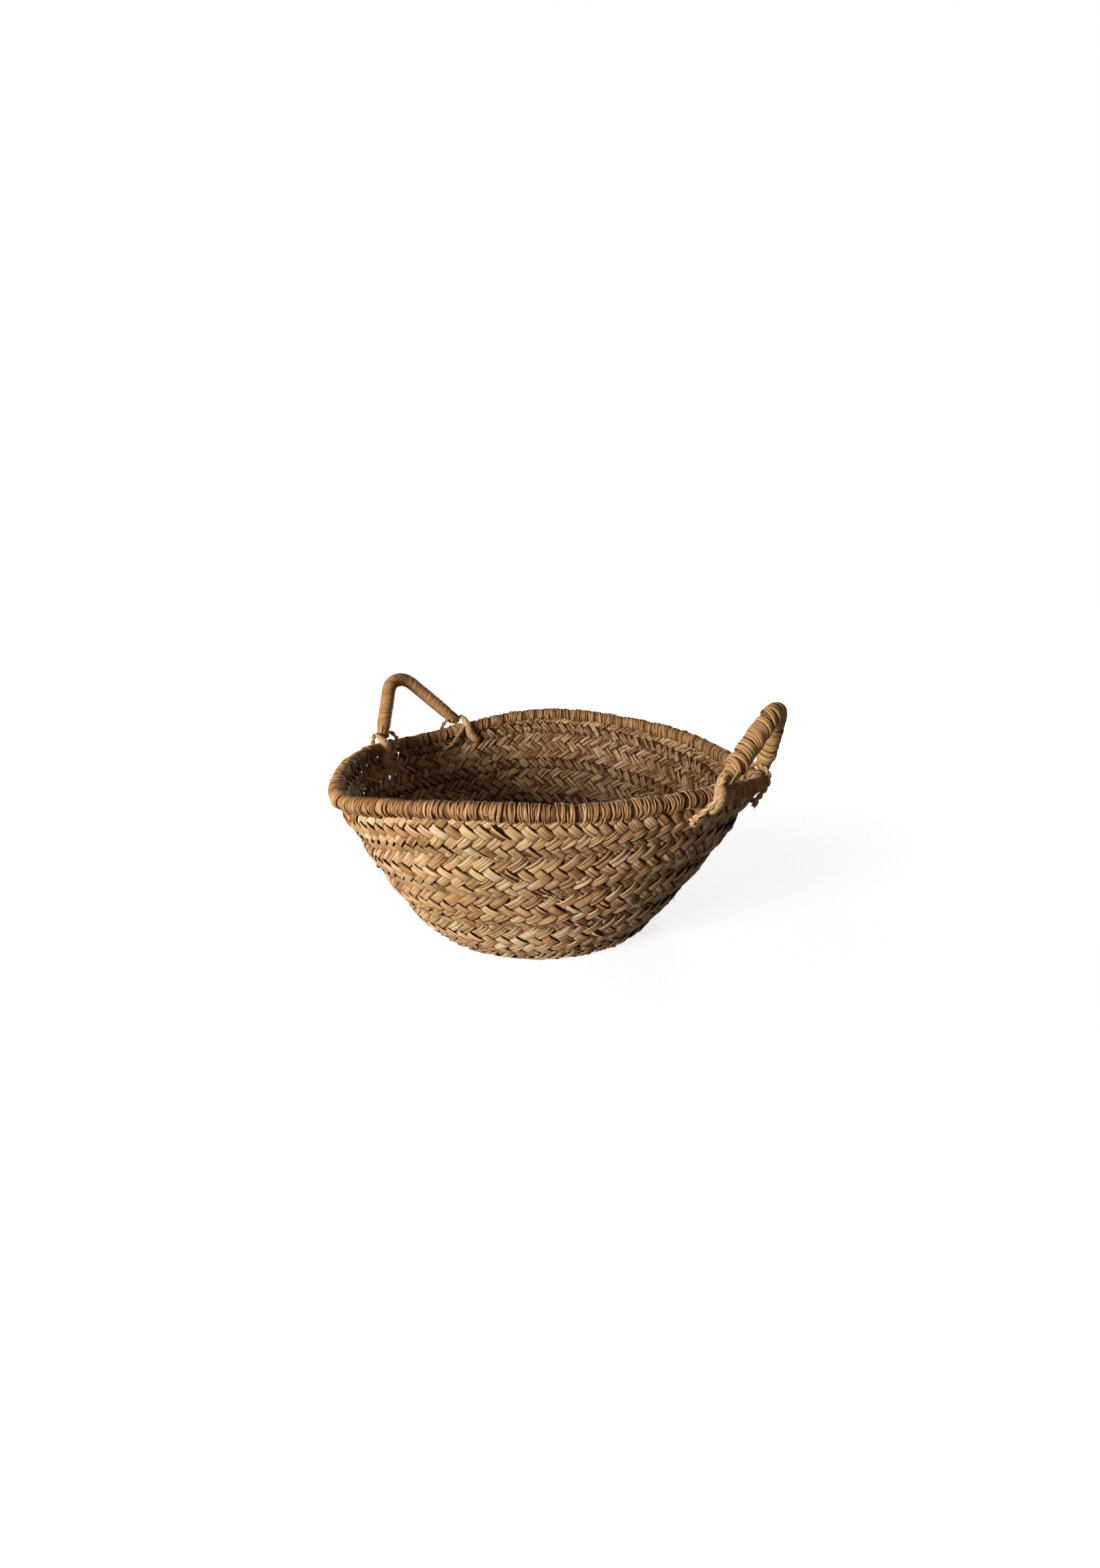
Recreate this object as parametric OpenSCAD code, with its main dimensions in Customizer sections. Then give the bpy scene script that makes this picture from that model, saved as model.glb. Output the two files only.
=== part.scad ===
// Plaited storage basket: one long flat plait of grass bundles, coiled from the middle of the base up
// to the rim and sewn edge to edge, with an overcast rim and two rope handles tied on with cord.
// Millimetres, +Z up. The origin is the centre of the flat underside. The front handle stands at +X
// and the back handle at -X. Angles run anticlockwise from +X, seen from above.

/* [Bowl] */
// Radius of the flat underside
base_r = 109; // [95:1:125]
// Radius of the bend from base to wall
corner_r = 16; // [14:1:24]
// Slope of the wall where it leaves the base, in degrees above horizontal
slope_low = 55; // [45:1:62]
// Slope of the wall at the rim, in degrees above horizontal
slope_high = 68; // [66:1:80]
// Length of the wall along its slope
wall_run = 167; // [150:1:190]
// Thickness of the plait
plait_t = 6; // [4:0.5:7]
// Drift of the rim's centre from the base's centre, along X
rim_shift_x = 5.5; // [0:0.5:8]
// Drift of the rim's centre from the base's centre, along Y
rim_shift_y = 3.5; // [0:0.5:8]

/* [Plait] */
// Width of one turn of the plait, from seam to seam
strip_w = 43; // [38:1:48]
// Distance of the innermost seam from the centre, at angle 0
seam_start = 6; // [4:1:10]
// Space between two turns, which the sewing cord fills
seam_gap = 2.8; // [2.6:0.1:3.2]
// Diameter of the sewing cord
seam_d = 2.2; // [1.6:0.1:2.3]

/* [Rim] */
// Radius of the grass bundle inside the rim
rim_core_r = 4.9; // [4:0.1:5]
// Thickness of the overcast binding
binding_t = 2.3; // [1.5:0.1:3]
// How far the binding's two edges reach below the middle of the rim core
binding_drop = 9; // [8:0.5:11]

/* [Front handle] */
// Angle of its middle round the rim
front_angle = 6.5; // [0:0.5:12]
// Half the angle between its feet
front_spread = 16; // [13:0.5:18]
// Outward lean at rest, in degrees from vertical
front_lean = 18; // [0:1:30]
// Height of its top above its feet, along its own plane
front_height = 52.5; // [48:0.5:75]
// Radius of the rope with its wrapping
front_rope_r = 8.6; // [7.5:0.1:9.5]

/* [Back handle] */
// Angle of its middle round the rim
back_angle = 175.5; // [170:0.5:180]
// Half the angle between its feet
back_spread = 14.5; // [13:0.5:18]
// Outward lean at rest, in degrees from vertical
back_lean = 28; // [0:1:35]
// Height of its top above its feet, along its own plane
back_height = 60.5; // [48:0.5:75]
// Radius of the rope with its wrapping
back_rope_r = 7.8; // [7.5:0.1:9.5]

/* [Handle fixings] */
// Height of the handles' swing axes above the middle of the rim core
axis_rise = 15.5; // [15:0.5:18]
// Radius of the grass rope inside each handle
handle_core_r = 5.4; // [4:0.1:5.6]
// Radius of the lashing cord where it lies in the handle's eye
pin_r = 1.8; // [1.5:0.1:2]
// Depth below the rim core at which the lashing goes through the wall
lashing_drop = 18; // [16:0.5:20]

/* [Hidden] */
straw = [0.74, 0.58, 0.36];
dark_straw = [0.55, 0.40, 0.22];
pale_straw = [0.82, 0.68, 0.45];

deg_per_rad = 180 / PI;
step_a = 7.5;
cell = 0.25;

// The hand-made rim rises and falls. Each row is [waves round the rim, height, angle of a crest].
height_waves = [[1, 3.6, 41], [2, 9.2, 128], [3, 1.9, 107], [4, 1.5, 20], [5, 2.9, 64]];
// It is also not quite round. Each row is [waves round the rim, size, angle of a crest].
radius_waves = [[3, 2.6, 8], [4, 4, 5]];

// The profile is followed by its length s from the centre of the underside.
s_wall = base_r + corner_r * slope_low / deg_per_rad;
s_rim = s_wall + wall_run;
wall_bend_r = wall_run * deg_per_rad / (slope_high - slope_low);

// The coil is followed by its whole angle. It starts within the first turn and ends under the rim.
coil_start = -330;
coil_split = 502.5;
coil_end = 2347.5;

// Local measures at the rim
core_rise = rim_core_r + 0.5;
binding_in = rim_core_r + 0.4;
binding_out = binding_in + binding_t;
leg_in = plait_t / 2 + 0.3;
leg_out = leg_in + binding_t;

// Handle feet
arch_r = 21;
arch_skew = 4;
knuckle_r = 5.8;
knuckle_half = 6.5;
bore_play = 0.05;
pin_half = 11;
cord_r = 1.6;
wrap_start = 13.5;
wrap_play = 0.2;
knot_r = 3.6;

function waves(rows, a, i = 0) =
    i >= len(rows) ? 0 : rows[i][1] * cos(rows[i][0] * (a - rows[i][2])) + waves(rows, a, i + 1);

function slope(s) =
    s < base_r ? 0
    : s < s_wall ? (s - base_r) / corner_r * deg_per_rad
    : slope_low + (s - s_wall) / wall_bend_r * deg_per_rad;

function profile_r(s) =
    s < base_r ? s
    : s < s_wall ? base_r + corner_r * sin(slope(s))
    : base_r + corner_r * sin(slope_low) + wall_bend_r * (sin(slope(s)) - sin(slope_low));

function profile_z(s) =
    s < base_r ? 0
    : s < s_wall ? corner_r * (1 - cos(slope(s)))
    : corner_r * (1 - cos(slope_low)) + wall_bend_r * (cos(slope_low) - cos(slope(s)));

// Share of the rim's unevenness that reaches the profile at s
function share(s) = profile_z(s) / profile_z(s_rim);

// A point at angle a and profile length s, at a depth inward from the outer surface
function wall_point(a, s, depth) =
    let (r = profile_r(s) * (1 + share(s) * waves(radius_waves, a) / profile_r(s_rim)) - depth * sin(slope(s)))
    let (z = profile_z(s) * (1 + waves(height_waves, a) / profile_z(s_rim)) + depth * cos(slope(s)))
    [r * cos(a) + share(s) * rim_shift_x, r * sin(a) + share(s) * rim_shift_y, z];

// A point near the rim: n outward across the wall and b upward along it, from the rim core's middle
function rim_point(a, n, b) =
    wall_point(a, s_rim, plait_t / 2)
    + n * [sin(slope_high) * cos(a), sin(slope_high) * sin(a), -cos(slope_high)]
    + (b + core_rise) * [cos(slope_high) * cos(a), cos(slope_high) * sin(a), sin(slope_high)];

// Profile length of the seam on the inner side of the strip, at whole angle phi
function seam(phi) = seam_start + strip_w * phi / 360;
function strip_in(phi) = max(seam(phi) + seam_gap / 2, seam_gap / 2);
function strip_out(phi) = phi + 360 > coil_end + 1 ? s_rim : seam(phi + 360) - seam_gap / 2;

function unit(v) = v / norm(v);

// Triangles that join count rings of sides points. Closed rings run round; open ones get two caps.
function ring_faces(count, sides, closed) = [
    for (i = [0 : count - (closed ? 1 : 2)], k = [0 : sides - 1], half = [0, 1])
        let (j = (i + 1) % count)
        let (l = (k + 1) % sides)
        half == 0 ? [i * sides + k, i * sides + l, j * sides + k]
                  : [i * sides + l, j * sides + l, j * sides + k]
];
function cap_faces(count, sides) = [
    [for (k = [sides - 1 : -1 : 0]) k],
    [for (k = [0 : sides - 1]) (count - 1) * sides + k]
];

module skin(rings, closed = false) {
    sides = len(rings[0]);
    points = [for (ring = rings, p = ring) p];
    faces = concat(ring_faces(len(rings), sides, closed), closed ? [] : cap_faces(len(rings), sides));
    polyhedron(points = points, faces = faces, convexity = 8);
}

// A round tube along points in space. Each ring is square to the path and turned as little as can be
// from the ring before it.
function path_dir(path, i) =
    unit(path[min(i + 1, len(path) - 1)] - path[max(i - 1, 0)]);
function square_to(x, t) = unit(x - t * (x * t));
function ring_at(centre, t, x, r, sides) =
    let (y = cross(x, t))
    [for (k = [0 : sides - 1]) centre + r * (cos(360 * k / sides) * x + sin(360 * k / sides) * y)];
function tube_rings(path, r, sides, x, i = 0) =
    i >= len(path) ? []
    : let (t = path_dir(path, i))
      let (x_here = square_to(x, t))
      concat([ring_at(path[i], t, x_here, r, sides)], tube_rings(path, r, sides, x_here, i + 1));

// Catmull-Rom curve through the points, with four short pieces between each two
function spline_at(a, b, c, d, t) =
    0.5 * (2 * b + (c - a) * t + (2 * a - 5 * b + 4 * c - d) * t * t + (3 * b - a - 3 * c + d) * t * t * t);
function spline(p) = concat(
    [for (i = [0 : len(p) - 2], t = [0, cell, 2 * cell, 3 * cell])
        spline_at(p[max(i - 1, 0)], p[i], p[i + 1], p[min(i + 2, len(p) - 1)], t)],
    [p[len(p) - 1]]
);

// Plaited strip, flat part
module base_coil() {
    angles = [coil_start : step_a : coil_split];
    outer = [for (phi = angles) strip_out(phi) * [cos(phi), sin(phi)]];
    inner = [for (phi = angles) strip_in(phi) * [cos(phi), sin(phi)]];
    backwards = [for (i = [len(inner) - 1 : -1 : 0]) inner[i]];
    color(straw) linear_extrude(height = plait_t) polygon(concat(outer, backwards));
}

// Plaited strip, from where it leaves the flat base to its end under the rim
function strip_ring(phi) =
    let (lo = strip_in(phi))
    let (hi = strip_out(phi))
    concat(
        [for (k = [0 : 4]) wall_point(phi, lo + (hi - lo) * k / 4, 0)],
        [for (k = [4 : -1 : 0]) wall_point(phi, lo + (hi - lo) * k / 4, plait_t)]
    );

module wall_coil() {
    step_up = coil_end - 360;
    angles = concat(
        [coil_split + 0.3],
        [for (phi = [coil_split + step_a : step_a : step_up]) phi],
        [step_up + 1, step_up + 2],
        [for (phi = [step_up + step_a : step_a : coil_end]) phi]
    );
    color(straw) skin([for (phi = angles) strip_ring(phi)]);
}

// Sewing cord, all the way along the seam
module seam_cord() {
    rings = [for (phi = [15 : step_a : coil_end - step_a])
        [for (k = [0 : 5]) wall_point(phi, seam(phi) + seam_d / 2 * cos(60 * k),
            plait_t / 2 + seam_d / 2 * sin(60 * k))]];
    color(dark_straw) skin(rings);
}

// Grass bundle on the strip's last edge
module rim_core() {
    rings = [for (a = [0 : step_a : 359])
        [for (k = [0 : 9]) rim_point(a, rim_core_r * cos(36 * k), rim_core_r * sin(36 * k))]];
    color(dark_straw) skin(rings, closed = true);
}

// Overcast binding: an upside-down U over the core and the strip's edge
function binding_section() =
    let (dip = -acos(leg_in / binding_in))
    concat(
        [for (k = [0 : 8]) let (w = -10 + 25 * k) [binding_out * cos(w), binding_out * sin(w)]],
        [[-leg_out, -binding_drop], [-leg_in, -binding_drop]],
        [for (k = [0 : 10]) let (w = 180 - dip - (180 - 2 * dip) * k / 10)
            [binding_in * cos(w), binding_in * sin(w)]],
        [[leg_in, -binding_drop], [leg_out, -binding_drop]]
    );

module rim_binding() {
    rings = [for (a = [0 : step_a : 359]) [for (p = binding_section()) rim_point(a, p[0], p[1])]];
    color(straw) skin(rings, closed = true);
}

// A handle's own frame: x along its swing axis, y up its plane at rest, origin midway between its feet
function foot(angle, spread, side) = rim_point(angle + side * spread, 0, axis_rise);
function axis_dir(angle, spread) = unit(foot(angle, spread, 1) - foot(angle, spread, -1));
function half_chord(angle, spread) = norm(foot(angle, spread, 1) - foot(angle, spread, -1)) / 2;

module handle_frame(angle, spread, lean) {
    x = axis_dir(angle, spread);
    flat_out = [cos(angle), sin(angle), 0];
    out = unit(flat_out - x * (flat_out * x));
    up = cross(out, x);
    y = up * cos(lean) + out * sin(lean);
    z = cross(x, y);
    o = (foot(angle, spread, 1) + foot(angle, spread, -1)) / 2;
    multmatrix([
        [x[0], y[0], z[0], o[0]],
        [x[1], y[1], z[1], o[1]],
        [x[2], y[2], z[2], o[2]],
        [0, 0, 0, 1]
    ]) children();
}

// The arch: two straight legs from the feet at x = +half and -half, and a round top between them
function leg_angle(half, height, side) =
    let (c = [arch_skew, height - arch_r])
    let (d = norm(c - [side * half, 0]))
    atan2(c[1], c[0] - side * half) - side * asin(arch_r / d);
function leg_end(half, height, side) =
    let (d = norm([arch_skew - side * half, height - arch_r]))
    let (run = sqrt(d * d - arch_r * arch_r))
    let (w = leg_angle(half, height, side))
    [side * half + run * cos(w), run * sin(w), 0];
function arch(half, height, start) =
    let (c = [arch_skew, height - arch_r, 0])
    let (right = leg_end(half, height, 1))
    let (left = leg_end(half, height, -1))
    let (w0 = leg_angle(half, height, 1) - 90)
    let (w1 = leg_angle(half, height, -1) + 90)
    let (from = [half, 0, 0] + start * unit(right - [half, 0, 0]))
    let (to = [-half, 0, 0] + start * unit(left - [-half, 0, 0]))
    concat(
        [for (k = [0 : 3]) from + (right - from) * k / 4],
        [for (k = [0 : 10]) let (w = w0 + (w1 - w0) * k / 10) c + arch_r * [cos(w), sin(w), 0]],
        [for (k = [1 : 4]) left + (to - left) * k / 4]
    );

module along_x(x) {
    translate([x, 0, 0]) rotate([0, 90, 0]) children();
}

// Grass rope with an eye at each foot
module handle_core(angle, spread, lean, height) {
    half = half_chord(angle, spread);
    rope = tube_rings(arch(half, height, 0), handle_core_r, 10, [0, 0, 1]);
    handle_frame(angle, spread, lean) difference() {
        union() {
            skin(rope);
            for (side = [-1, 1])
                along_x(side * half) cylinder(r = knuckle_r, h = 2 * knuckle_half, center = true, $fn = 48);
        }
        for (side = [-1, 1])
            along_x(side * half) cylinder(r = pin_r + bore_play, h = 3 * knuckle_half, center = true, $fn = 48);
    }
}

// Wrapping: a sleeve round the rope, from just above one eye to just above the other
module handle_wrap(angle, spread, lean, height, rope_r) {
    path = arch(half_chord(angle, spread), height, wrap_start);
    outer = tube_rings(path, rope_r, 12, [0, 0, 1]);
    inner = tube_rings(path, handle_core_r + wrap_play, 12, [0, 0, 1]);
    count = len(path);
    sides = 12;
    points = concat([for (ring = outer, p = ring) p], [for (ring = inner, p = ring) p]);
    shift = count * sides;
    outer_faces = ring_faces(count, sides, false);
    inner_faces = [for (f = outer_faces) [f[0] + shift, f[2] + shift, f[1] + shift]];
    end_faces = [for (end = [0, count - 1], k = [0 : sides - 1], half = [0, 1])
        let (a = end * sides + k)
        let (b = end * sides + (k + 1) % sides)
        let (f = half == 0 ? [a, a + shift, b] : [b, a + shift, b + shift])
        end == 0 ? f : [f[0], f[2], f[1]]];
    handle_frame(angle, spread, lean)
        polyhedron(points = points, faces = concat(outer_faces, inner_faces, end_faces), convexity = 6);
}

// One lashing: a straight run through the handle's eye, and a loop down outside the rim, through the
// wall and up inside. The route's rows are [along the rim, across the wall, up the wall] from the foot.
loop_route = [[-12.5, 5, 11.5], [-13, 8.3, 6.5], [-15.5, 10, 0], [-18.5, 9.6, -7], [-20.5, 8.4, -13],
    [-20, 5, -17], [-17, 0, -18], [-13, -5, -18], [-8, -8.6, -14], [-1, -10.2, -6], [6, -10, 0],
    [11, -8.3, 5.6], [12.5, -5.2, 10.8]];

module lashing(angle, spread, side, hand) {
    a0 = angle + side * spread;
    along = deg_per_rad / profile_r(s_rim);
    p0 = foot(angle, spread, side);
    u = axis_dir(angle, spread) * hand;
    drop = lashing_drop - 18;
    loop = [for (p = loop_route) rim_point(a0 + hand * p[0] * along, p[1], p[2] - (p[2] < -12 ? drop : 0))];
    curve = spline(concat([p0 - u * pin_half], loop, [p0 + u * pin_half]));
    route = concat([p0 - u * (pin_half - 2)], curve, [p0 + u * (pin_half - 2)]);
    x = axis_dir(angle, spread);
    union() {
        skin(tube_rings(route, cord_r, 8, [0, 0, 1]));
        translate(p0) rotate([0, acos(x[2]), atan2(x[1], x[0])])
            cylinder(r = pin_r, h = 2 * pin_half, center = true, $fn = 48);
        translate(rim_point(a0 - hand * 20 * along, 7.4, -lashing_drop)) sphere(r = knot_r, $fn = 32);
    }
}

module lashing_front_a() {
    color(pale_straw) lashing(front_angle, front_spread, -1, 1);
}

module lashing_front_b() {
    color(pale_straw) lashing(front_angle, front_spread, 1, 1);
}

module lashing_back_a() {
    color(pale_straw) lashing(back_angle, back_spread, -1, -1);
}

module lashing_back_b() {
    color(pale_straw) lashing(back_angle, back_spread, 1, -1);
}

module handle_core_front() {
    color(dark_straw) handle_core(front_angle, front_spread, front_lean, front_height);
}

module handle_wrap_front() {
    color(straw) handle_wrap(front_angle, front_spread, front_lean, front_height, front_rope_r);
}

module handle_core_back() {
    color(dark_straw) handle_core(back_angle, back_spread, back_lean, back_height);
}

module handle_wrap_back() {
    color(straw) handle_wrap(back_angle, back_spread, back_lean, back_height, back_rope_r);
}

base_coil();
wall_coil();
seam_cord();
rim_core();
rim_binding();
lashing_front_a();
lashing_front_b();
lashing_back_a();
lashing_back_b();
handle_core_front();
handle_wrap_front();
handle_core_back();
handle_wrap_back();
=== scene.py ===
"""A round open basket: one long plait of grass bundles, coiled up and sewn edge to edge, with an
overcast rim and two rope handles tied on with twisted cord.

Lengths are in millimetres up to the moment a mesh is made, which turns them into metres. Angles are
in degrees, anticlockwise from +X seen from above. The shape is the CAD model's: the same profile,
uneven rim, coil and handle arches.

Names used all through: a is an angle round the bowl and phi the whole angle along the coil, s is the
distance along the bowl's profile from the middle of its base, and q counts a strip's rows up from its
lower seam. Near the rim, n goes outward across the wall and b up along it.
"""

import math

import bpy
import numpy as np
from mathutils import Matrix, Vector


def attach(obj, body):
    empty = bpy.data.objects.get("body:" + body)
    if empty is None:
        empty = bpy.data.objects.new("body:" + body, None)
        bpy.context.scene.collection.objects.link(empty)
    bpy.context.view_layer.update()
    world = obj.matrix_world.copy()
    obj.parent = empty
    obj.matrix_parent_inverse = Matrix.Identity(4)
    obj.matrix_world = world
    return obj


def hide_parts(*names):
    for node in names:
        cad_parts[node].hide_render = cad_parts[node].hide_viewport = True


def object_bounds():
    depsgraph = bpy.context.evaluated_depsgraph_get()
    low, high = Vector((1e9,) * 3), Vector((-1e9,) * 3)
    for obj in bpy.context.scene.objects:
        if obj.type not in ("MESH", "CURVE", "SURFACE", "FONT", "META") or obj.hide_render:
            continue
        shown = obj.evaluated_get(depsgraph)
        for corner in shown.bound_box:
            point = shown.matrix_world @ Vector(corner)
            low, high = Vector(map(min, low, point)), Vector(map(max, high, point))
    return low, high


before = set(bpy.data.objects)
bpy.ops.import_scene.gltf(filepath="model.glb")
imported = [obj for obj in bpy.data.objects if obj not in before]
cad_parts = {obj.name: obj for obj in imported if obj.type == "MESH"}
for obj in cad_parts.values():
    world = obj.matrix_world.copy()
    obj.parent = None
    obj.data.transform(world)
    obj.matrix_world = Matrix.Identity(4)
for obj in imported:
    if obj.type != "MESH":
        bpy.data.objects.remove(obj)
cad_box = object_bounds()

MM = 0.001
PI = math.pi
UPWARD = np.array([0.0, 0.0, 1.0])
SEEDS = dict(blades=5, plait=11, centre=3, seam=21, binding=31, handles=41, lashings=50, fibres=61)

# ---------------- the bowl's shape, as in the CAD
BASE_R = 109.0
CORNER_R = 16.0
SLOPE_LOW = 55.0
SLOPE_HIGH = 68.0
WALL_RUN = 167.0
PLAIT_T = 6.0
RIM_SHIFT = (5.5, 3.5)
HEIGHT_WAVES = ((1, 3.6, 41), (2, 9.2, 128), (3, 1.9, 107), (4, 1.5, 20), (5, 2.9, 64))
RADIUS_WAVES = ((3, 2.6, 8), (4, 4.0, 5))

# ---------------- the coil and its plait
STRIP_W = 43.0
SEAM_START = 6.0
COIL_START = -200.0
COIL_SPLIT = 502.5
COIL_END = 2347.5
# where the coil is cut into pieces, so that none has too many faces to be exported whole
TURN_SPLITS = (-1e9, COIL_SPLIT, 810.0, 1080.0, 1310.0, 1520.0, 1720.0, 1910.0, 2090.0, 2250.0, 1e9)
LAST_TURN = COIL_END - 380.0
ROWS = 8
ROW_H = STRIP_W / ROWS
PITCH_LOW = 13.5
PITCH_TOP = 11.7
PITCH_CHANGE = (1700.0, 300.0)
WEAVE_DEPTH = 1.6
FLOAT_FLATNESS = 1.8
# rows that a strand reaches past the seam below it, and stops short of the seam or rim above it
LAP_LOW = 0.95
LAP_TOP = 0.35
LAP_RIM = -0.3
BULGE = 3.0
BULGE_IN = 0.62
STRAND_POINTS = 33
STRAW_COUNTS = {1: 0.16, 2: 0.34, 3: 0.29, 4: 0.14, 5: 0.07}
STRAW_LEAST = 0.13
# the filler under each strand, dark as painted shade in the gaps: its spread and its half thickness
FILLER_SPREAD = 1.12
FILLER_T = 0.16
SEAM_BAND = 14.5
SEAM_PLIES = 3
SEAM_PLY_PITCH = 13.0
# where the plait is worn thin: the angles, how far to each side, and from which whole angle up
THIN_ANGLES = (163.0, 194.0)
THIN_HALF = 6.0
THIN_FROM = 1800.0

# ---------------- rim
RIM_CORE_R = 4.9
CORE_RISE = RIM_CORE_R + 0.5
BINDING_R = 6.2
BINDING_DROP = 5.4
BUNDLE_W = 8.6
UNDER_STEP = 2.3
UNDER_INSET = (1.1, 0.9)
OVERCAST_POINTS = 24

# ---------------- handles and lashings
AXIS_RISE = 15.5
ARCH_R = 21.0
ARCH_SKEW = 4.0
PIN_HALF = 11.0
LASHING_DROP = 18.0
FOOT_R = 5.75
FOOT_BELOW = 5.0
EYE_R = 5.0
EYE_LOOPS = 8
EYE_STEP = 1.4
COLLAR_R = 7.9
COLLAR_HALF = 7.0
COLLAR_STEP = 1.55
COLLAR_DROP = 8.5
CORE_R = 3.6
CORE_STRANDS = 9
CORE_TWIST = 130.0
CORE_SHORT = 9.0
WINDING_START = 4.4
TURN_POINTS = 26
WANDER_KNOTS = 3
# hand: which way the cords and the winding go round. tab: rope tails outside (1) or inside (-1) the
# rim. cord: how light the lashing is, from 0 to 1.
HANDLES = {
    "front": dict(angle=6.5, spread=16.0, lean=18.0, height=52.5, rope=8.6, hand=1, tab=1, cord=0.66),
    "back": dict(angle=175.5, spread=14.5, lean=28.0, height=60.5, rope=7.8, hand=-1, tab=-1, cord=0.36),
}
# a lashing's stops from one side of its foot to the other: along the rim, n and b
LOOP_ROUTE = (
    (-13.6, 4.4, 11.2), (-14.8, 7.6, 6.0), (-17.4, 9.0, 0.0), (-21.5, 8.0, -7.0),
    (-25.5, 6.8, -12.5), (-26.5, 4.4, -16.5), (-24.0, 0.0, -17.5), (-18.0, -5.0, -17.5),
    (-11.0, -8.6, -14.0), (-2.0, -10.2, -6.0), (6.0, -10.0, 0.0), (11.0, -8.3, 5.6),
    (12.5, -5.2, 10.8),
)
KNOT_ALONG = 26.0
KNOT_OUT = 6.8
KNOT_SIZE = 3.0
KNOT_TAILS = 4
# a rope tail's stops over the rim, in the same three measures, and two more for the tails inside
TAB_ROUTE = (
    (9.4, 0.0, 17.6), (10.2, 1.8, 14.5), (10.8, 4.6, 11.0), (11.4, 6.9, 7.0), (12.0, 8.2, 2.5),
    (12.6, 8.0, -1.5), (13.8, 7.4, -6.0), (16.0, 6.2, -10.5),
)
TAB_TAIL = ((20.2, 5.8, -16.5), (24.5, 5.0, -22.5))
TAB_R = 4.7
TAB_STRAWS = 15
TAB_TWIST = 34.0

# ---------------- loose fibres
RIM_FIBRES = 34
RIM_FIBRE_LENGTHS = (4, 8)
WALL_FIBRES = 30
WALL_FIBRE_LENGTHS = (6, 13)


# ================ shape functions
def sin_d(a):
    return np.sin(np.radians(a))


def cos_d(a):
    return np.cos(np.radians(a))


def unit(v):
    return v / np.maximum(np.linalg.norm(v, axis=-1, keepdims=True), 1e-12)


def waves(rows, a):
    return sum(size * cos_d(n * (a - crest)) for n, size, crest in rows)


S_WALL = BASE_R + CORNER_R * math.radians(SLOPE_LOW)
S_RIM = S_WALL + WALL_RUN
BEND_R = WALL_RUN / math.radians(SLOPE_HIGH - SLOPE_LOW)


def profile(s):
    """Radius, height and slope at a distance s along the profile from the base's centre."""
    s = np.asarray(s, float)

    def part(base, corner, wall):
        return np.where(s < BASE_R, base, np.where(s < S_WALL, corner, wall))

    on_corner = np.degrees((s - BASE_R) / CORNER_R)
    slope = part(0.0, on_corner, SLOPE_LOW + np.degrees((s - S_WALL) / BEND_R))
    r_wall = BASE_R + CORNER_R * sin_d(SLOPE_LOW) + BEND_R * (sin_d(slope) - sin_d(SLOPE_LOW))
    z_wall = CORNER_R * (1 - cos_d(SLOPE_LOW)) + BEND_R * (cos_d(SLOPE_LOW) - cos_d(slope))
    r = part(s, BASE_R + CORNER_R * sin_d(slope), r_wall)
    z = part(0.0, CORNER_R * (1 - cos_d(slope)), z_wall)
    return r, z, slope


R_RIM = float(profile(S_RIM)[0])
Z_RIM = float(profile(S_RIM)[1])


def wall_point(a, s, depth):
    """A point of the bowl at angle a and profile distance s, at a depth inward from its outside."""
    r, z, slope = profile(s)
    share = z / Z_RIM
    rr = r * (1 + share * waves(RADIUS_WAVES, a) / R_RIM) - depth * sin_d(slope)
    zz = z * (1 + waves(HEIGHT_WAVES, a) / Z_RIM) + depth * cos_d(slope)
    x = rr * cos_d(a) + share * RIM_SHIFT[0]
    y = rr * sin_d(a) + share * RIM_SHIFT[1]
    return np.stack([x, y, zz], -1)


def wall_normal(a, s):
    """Outward unit normal of the bowl."""
    along = wall_point(a + 0.2, s, 0.0) - wall_point(a - 0.2, s, 0.0)
    up = wall_point(a, s + 0.2, 0.0) - wall_point(a, s - 0.2, 0.0)
    return unit(np.cross(along, up))


def rim_point(a, n, b):
    """A point near the rim: n outward across the wall and b up along it, from the rim core's middle."""
    a, n, b = np.broadcast_arrays(np.asarray(a, float), n, b)
    flat = np.stack([cos_d(a), sin_d(a), np.zeros(a.shape)], -1)
    out = sin_d(SLOPE_HIGH) * flat - cos_d(SLOPE_HIGH) * UPWARD
    up = cos_d(SLOPE_HIGH) * flat + sin_d(SLOPE_HIGH) * UPWARD
    middle = wall_point(a, np.full(a.shape, S_RIM), PLAIT_T / 2)
    return middle + n[..., None] * out + (b[..., None] + CORE_RISE) * up


def seam(phi):
    """Profile distance of the seam on the strip's inner side, at whole angle phi."""
    return SEAM_START + STRIP_W * phi / 360.0


def spline(points, pieces=6):
    """Catmull-Rom curve through the points."""
    p = np.asarray(points, float)
    out = []
    for i in range(len(p) - 1):
        a, b, c, d = p[max(i - 1, 0)], p[i], p[i + 1], p[min(i + 2, len(p) - 1)]
        for k in range(pieces):
            t = k / pieces
            out.append(0.5 * (2 * b + (c - a) * t + (2 * a - 5 * b + 4 * c - d) * t * t
                              + (3 * b - a - 3 * c + d) * t ** 3))
    out.append(p[-1])
    return np.array(out)


def sums(values):
    """Running sums of the values, from 0."""
    return np.concatenate([[0], np.cumsum(values)])


def lengths_along(path):
    return sums(np.linalg.norm(np.diff(path, axis=0), axis=1))


def evenly(path, step):
    """The same path with points at even steps along its length."""
    lengths = lengths_along(path)
    count = max(int(round(lengths[-1] / step)), 2) + 1
    at = np.linspace(0, lengths[-1], count)
    return np.stack([np.interp(at, lengths, path[:, k]) for k in range(3)], -1), at


def path_frames(path, start=UPWARD):
    """Two directions square to a path and to each other, turned as little as can be."""
    t = unit(np.gradient(path, axis=0))
    x = np.zeros_like(path)
    here = start
    for i in range(len(path)):
        here = here - t[i] * (here @ t[i])
        here = here / np.linalg.norm(here)
        x[i] = here
    return x, np.cross(t, x)


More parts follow.
